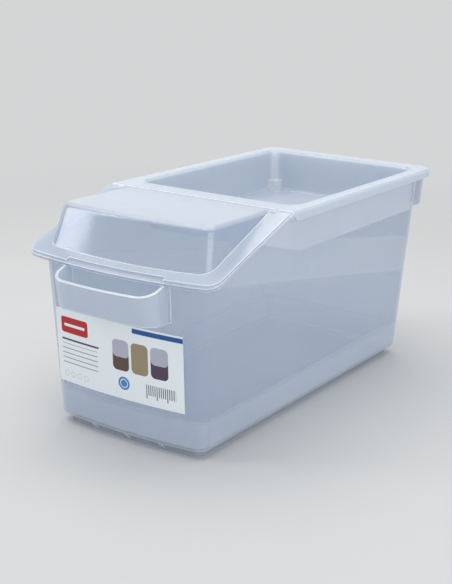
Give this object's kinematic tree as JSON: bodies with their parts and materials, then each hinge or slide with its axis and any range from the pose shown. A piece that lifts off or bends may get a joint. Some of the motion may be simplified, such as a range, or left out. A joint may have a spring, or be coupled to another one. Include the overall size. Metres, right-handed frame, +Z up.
{
  "type": "bulk food storage bin",
  "caption": "Deep translucent bulk food bin with a hinged wedge-shaped scoop lid over its sloping front and a recessed lift-out tray lid over the rear",
  "frame": {"origin": "Middle of the whole part's width and length, on the surface it stands on", "axes": "+X to the right seen from the front, +Y from the scoop opening to the rear along the length, +Z up"},
  "size_m": [0.229, 0.4922, 0.231],
  "materials": {
    "translucent_plastic": "translucent injection-moulded polypropylene, softly glossy",
    "label_film": "printed self-adhesive label, satin"
  },
  "bodies": {
    "bin": {"bin_body": "translucent_plastic", "front_label": "label_film"},
    "tray": {"tray_lid": "translucent_plastic"},
    "hood": {"scoop_hood": "translucent_plastic", "hinge_bead": "translucent_plastic"}
  },
  "joints": [
    {"name": "tray_lift", "type": "slide", "parent": "bin", "child": "tray", "axis": [0, 0, 1], "range_m": [0, 0.09]},
    {"name": "hood_hinge", "type": "hinge", "parent": "tray", "child": "hood", "pos_m": [0, -0.08613, 0.228], "axis": [-1, 0, 0], "range_deg": [0, 110]}
  ]
}
